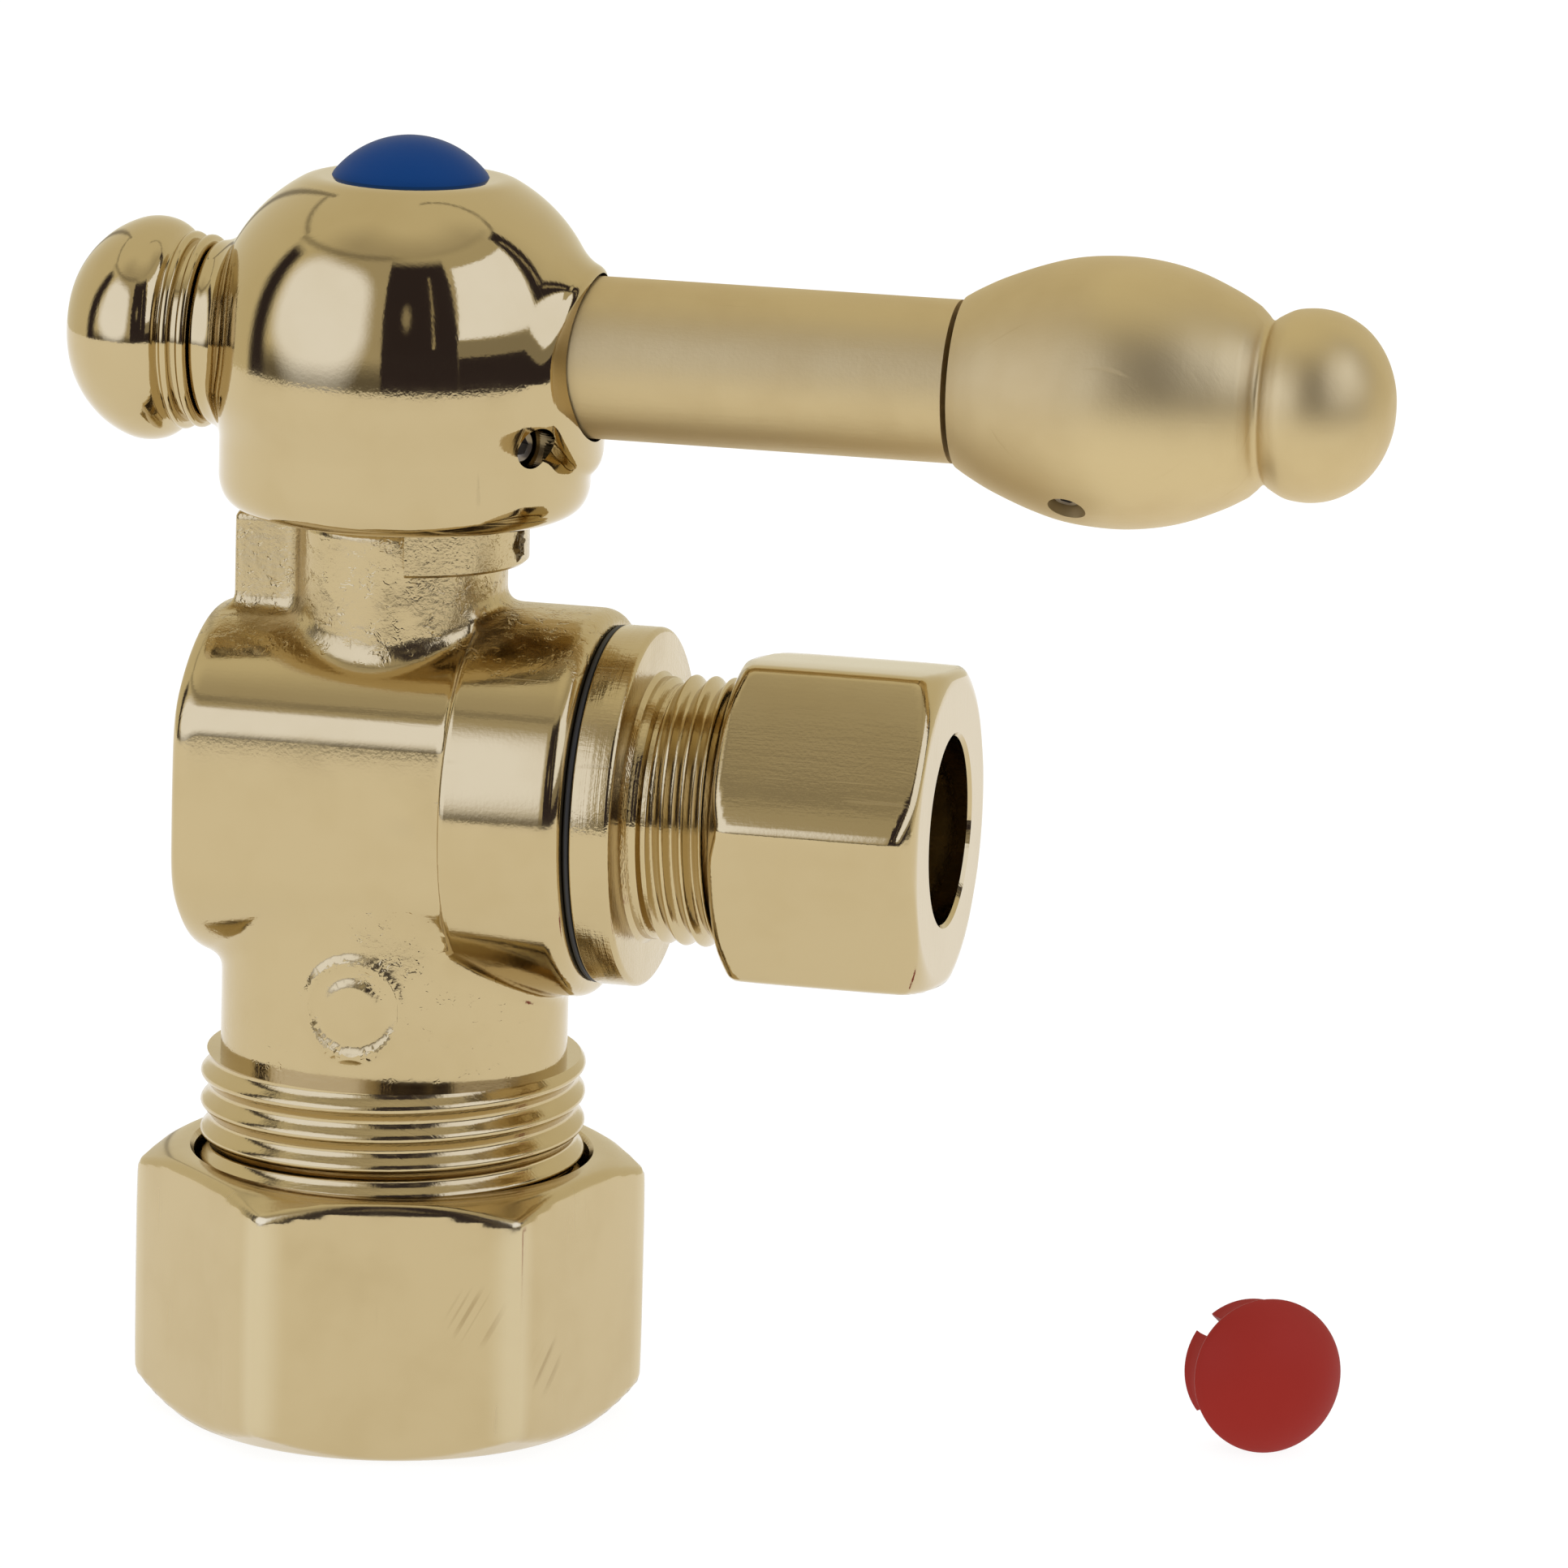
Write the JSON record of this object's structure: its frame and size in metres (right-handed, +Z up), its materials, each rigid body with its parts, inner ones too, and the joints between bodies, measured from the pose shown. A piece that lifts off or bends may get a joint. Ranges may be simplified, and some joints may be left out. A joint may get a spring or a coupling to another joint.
{
  "type": "angle stop valve",
  "caption": "Quarter-turn angle stop valve with a domed hub, turned lever handle and compression nuts on its inlet and outlet, with a loose spare index button.",
  "frame": {"origin": "on the inlet axis, in the bottom face of the inlet nut", "axes": "+Z up along the inlet and stem axis, +X along the outlet axis, out of the outlet"},
  "size_m": [0.0708, 0.0264, 0.0688],
  "materials": {
    "polished_brass": "polished, clear",
    "satin_brass": "fine satin",
    "ball_chrome": "mirror",
    "ptfe": "matte",
    "rubber": "matte",
    "steel": "bright",
    "blue_plastic": "gloss",
    "red_plastic": "gloss"
  },
  "bodies": {
    "valve": {"valve_body": "polished_brass", "outlet_retainer": "polished_brass", "retainer_o_ring": "rubber", "outlet_seat": "ptfe", "back_seat": "ptfe", "thrust_washer": "ptfe"},
    "handle": {"handle_hub": "polished_brass", "handle_screw": "steel", "hub_set_screw": "steel", "finial": "polished_brass", "lever_rod": "satin_brass", "lever_grip": "satin_brass", "grip_set_screw": "steel", "stem": "satin_brass", "stem_o_ring_lower": "rubber", "stem_o_ring_upper": "rubber"},
    "ball": {"ball": "ball_chrome"},
    "index_button": {"index_button": "blue_plastic"},
    "spare_button": {"spare_index_button": "red_plastic"},
    "inlet_sleeve": {"inlet_ferrule": "satin_brass"},
    "inlet_nut": {"inlet_nut": "polished_brass"},
    "outlet_sleeve": {"outlet_ferrule": "satin_brass"},
    "outlet_nut": {"outlet_nut": "polished_brass"}
  },
  "joints": [
    {"name": "handle_turn", "type": "hinge", "parent": "valve", "child": "handle", "pos_m": [0, 0, 0.0577], "axis": [0, 0, 1], "range_deg": [-90, 0]},
    {"name": "ball_turn", "type": "hinge", "parent": "valve", "child": "ball", "pos_m": [0, 0, 0.03395], "axis": [0, 0, 1], "range_deg": [-90, 0]},
    {"name": "index_button_lift", "type": "slide", "parent": "handle", "child": "index_button", "axis": [0, 0, 1], "range_m": [0, 0.006]},
    {"name": "spare_button_lift", "type": "slide", "parent": "valve", "child": "spare_button", "axis": [0, 0, 1], "range_m": [0, 0.03]},
    {"name": "inlet_sleeve_travel", "type": "slide", "parent": "valve", "child": "inlet_sleeve", "axis": [0, 0, -1], "range_m": [0, 0.00317]},
    {"name": "inlet_nut_turn", "type": "hinge", "parent": "inlet_sleeve", "child": "inlet_nut", "pos_m": [0, 0, 0.007], "axis": [0, 0, -1], "range_deg": [0, 720]},
    {"name": "outlet_sleeve_travel", "type": "slide", "parent": "valve", "child": "outlet_sleeve", "axis": [1, 0, 0], "range_m": [0, 0.00317]},
    {"name": "outlet_nut_turn", "type": "hinge", "parent": "outlet_sleeve", "child": "outlet_nut", "pos_m": [0.0245, 0, 0.03395], "axis": [1, 0, 0], "range_deg": [0, 1080]}
  ],
  "couplings": [
    {"joint": "ball_turn", "follows": "handle_turn", "ratio": 1},
    {"joint": "inlet_nut_turn", "follows": "inlet_sleeve_travel", "rad_per_m": 3957.9},
    {"joint": "outlet_nut_turn", "follows": "outlet_sleeve_travel", "rad_per_m": 5936.9}
  ]
}
